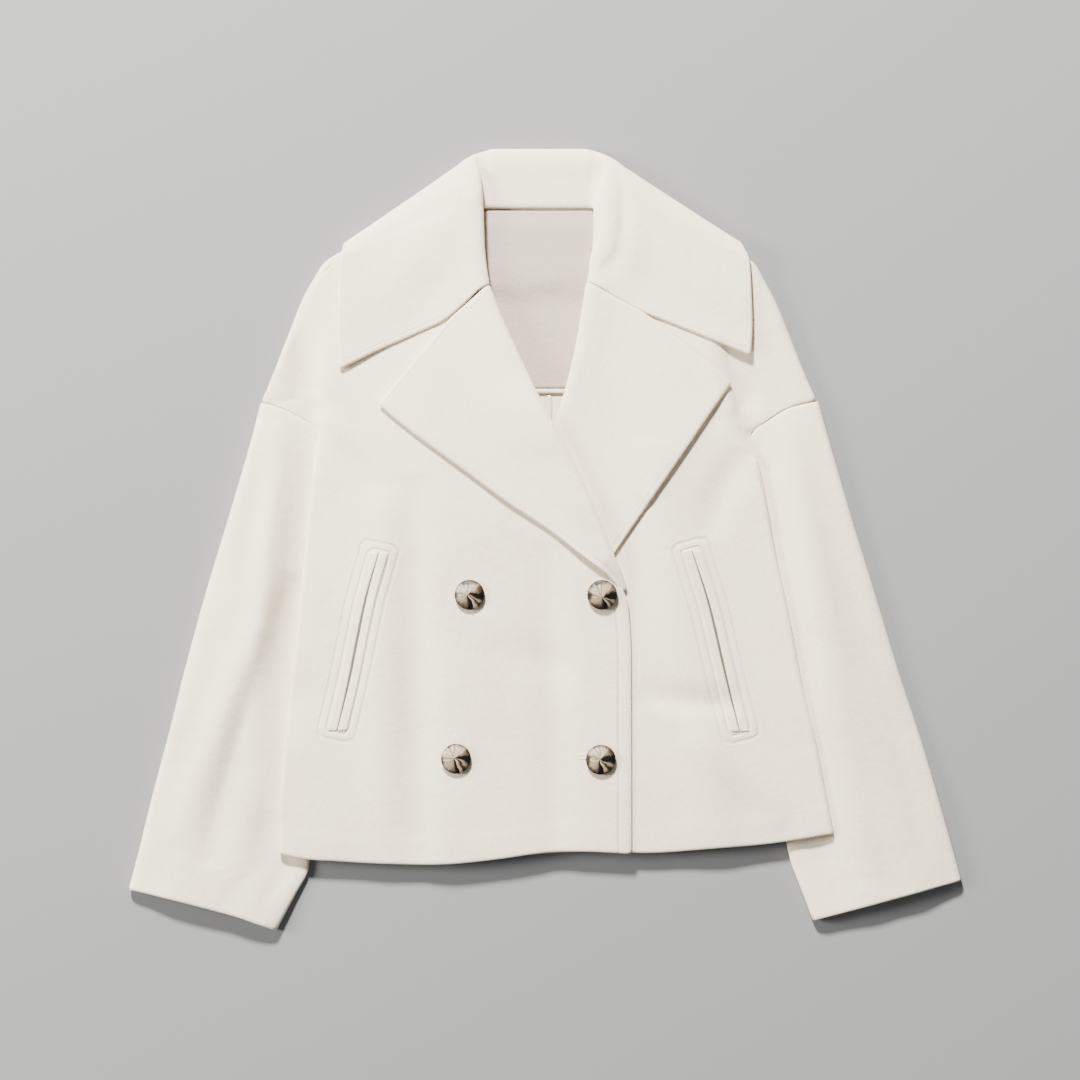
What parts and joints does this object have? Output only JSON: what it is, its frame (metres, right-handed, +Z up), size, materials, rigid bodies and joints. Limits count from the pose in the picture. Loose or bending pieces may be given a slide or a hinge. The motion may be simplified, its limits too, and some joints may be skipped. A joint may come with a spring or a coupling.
{
  "type": "winter jacket",
  "caption": "Cropped boxy double-breasted wool coat laid flat, with a broad collar, notched lapels, welt pockets and domed buttons.",
  "frame": {"origin": "middle of the coat's outline in plan, on the surface that it lies on", "axes": "+X across the coat towards the wearer's left sleeve, +Y from the hem to the collar, +Z up from the surface"},
  "size_m": [0.7658, 0.7192, 0.0314],
  "materials": {
    "wool_melton": "matt brushed wool",
    "facing_twill": "matt twill",
    "cotton_tape": "matt woven tape",
    "mottled_horn": "polished"
  },
  "bodies": {
    "root": {"back_right": "wool_melton", "back_left": "wool_melton", "back_facing": "facing_twill", "facing_hem_band": "cotton_tape", "centre_back_tape": "cotton_tape", "front_right": "wool_melton", "front_left": "wool_melton", "sleeve_right": "wool_melton", "sleeve_left": "wool_melton", "lapel_right": "wool_melton", "lapel_left": "wool_melton", "collar": "wool_melton", "pocket_lip_right_outer": "wool_melton", "pocket_lip_right_inner": "wool_melton", "pocket_lip_left_outer": "wool_melton", "pocket_lip_left_inner": "wool_melton", "button_1": "mottled_horn", "button_2": "mottled_horn", "button_3": "mottled_horn", "button_4": "mottled_horn"}
  },
  "joints": []
}
